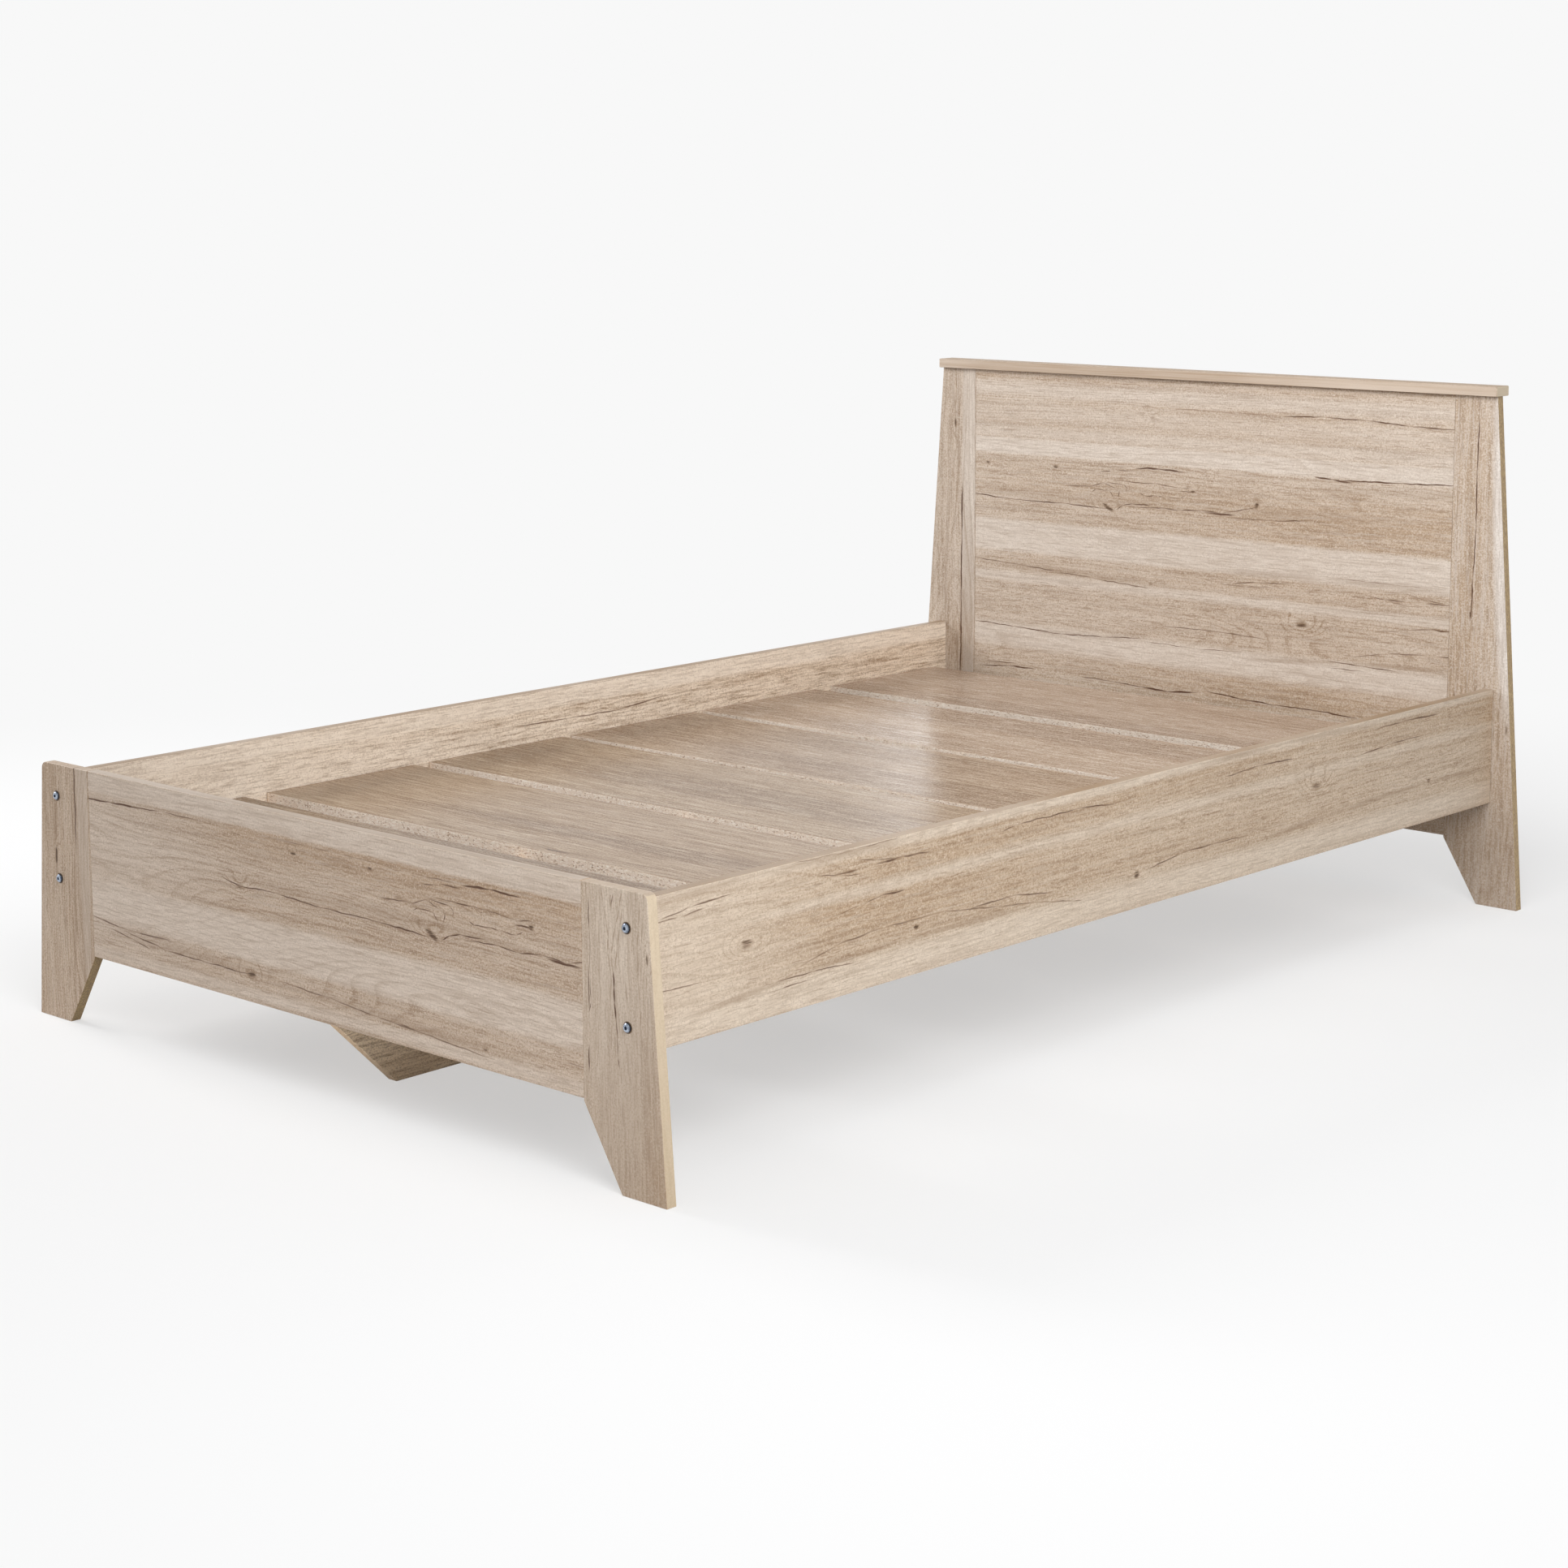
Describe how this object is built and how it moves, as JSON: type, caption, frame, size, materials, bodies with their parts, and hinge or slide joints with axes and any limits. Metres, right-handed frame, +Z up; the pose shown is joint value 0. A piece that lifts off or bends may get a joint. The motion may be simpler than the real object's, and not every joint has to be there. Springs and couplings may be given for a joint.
{
  "type": "bed",
  "caption": "Low bed of light oak decor chipboard with leaning end posts, a capped headboard, screwed side rails and loose boards across on a centre support.",
  "frame": {"origin": "on the floor, under the middle of the bed's bounding box", "axes": "+Z up, +Y from the foot to the headboard, +X to the right as seen from the foot"},
  "size_m": [1.258, 1.9574, 0.8378],
  "materials": {
    "post_decor": "matt oak decor",
    "panel_decor": "matt oak decor",
    "rail_decor": "matt oak decor",
    "cap_decor": "matt oak decor",
    "slat_decor": "semi-gloss oak decor with bare chipboard edges",
    "dowel_wood": "bare beech",
    "zinc_steel": "bright zinc plate",
    "diecast_zinc": "plain die-cast zinc"
  },
  "bodies": {
    "root": {"footboard_panel": "panel_decor", "footboard_left_post": "post_decor", "footboard_right_post": "post_decor", "headboard_panel": "panel_decor", "headboard_left_post": "post_decor", "headboard_right_post": "post_decor", "headboard_cap": "cap_decor", "left_side_rail": "rail_decor", "right_side_rail": "rail_decor", "left_slat_cleat": "rail_decor", "right_slat_cleat": "rail_decor", "slat_board_1": "slat_decor", "slat_board_2": "slat_decor", "slat_board_3": "slat_decor", "slat_board_4": "slat_decor", "slat_board_5": "slat_decor", "slat_board_6": "slat_decor", "centre_support": "rail_decor", "cap_dowel_1": "dowel_wood", "cap_dowel_2": "dowel_wood", "cap_dowel_3": "dowel_wood", "footboard_left_cam_disc_1": "diecast_zinc", "footboard_left_cam_stud_1": "zinc_steel", "footboard_left_dowel_1": "dowel_wood", "footboard_left_dowel_2": "dowel_wood", "footboard_left_lower_screw": "zinc_steel", "footboard_left_upper_screw": "zinc_steel", "footboard_right_cam_disc_1": "diecast_zinc", "footboard_right_cam_stud_1": "zinc_steel", "footboard_right_dowel_1": "dowel_wood", "footboard_right_dowel_2": "dowel_wood", "footboard_right_lower_screw": "zinc_steel", "footboard_right_upper_screw": "zinc_steel", "headboard_left_cam_disc_1": "diecast_zinc", "headboard_left_cam_disc_2": "diecast_zinc", "headboard_left_cam_stud_1": "zinc_steel", "headboard_left_cam_stud_2": "zinc_steel", "headboard_left_dowel_1": "dowel_wood", "headboard_left_lower_screw": "zinc_steel", "headboard_left_upper_screw": "zinc_steel", "headboard_right_cam_disc_1": "diecast_zinc", "headboard_right_cam_disc_2": "diecast_zinc", "headboard_right_cam_stud_1": "zinc_steel", "headboard_right_cam_stud_2": "zinc_steel", "headboard_right_dowel_1": "dowel_wood", "headboard_right_lower_screw": "zinc_steel", "headboard_right_upper_screw": "zinc_steel", "left_cleat_screw_1": "zinc_steel", "left_cleat_screw_2": "zinc_steel", "left_cleat_screw_3": "zinc_steel", "left_cleat_screw_4": "zinc_steel", "right_cleat_screw_1": "zinc_steel", "right_cleat_screw_2": "zinc_steel", "right_cleat_screw_3": "zinc_steel", "right_cleat_screw_4": "zinc_steel", "support_foot_dowel_1": "dowel_wood", "support_foot_dowel_2": "dowel_wood", "support_head_dowel_1": "dowel_wood", "support_head_dowel_2": "dowel_wood"}
  },
  "joints": []
}
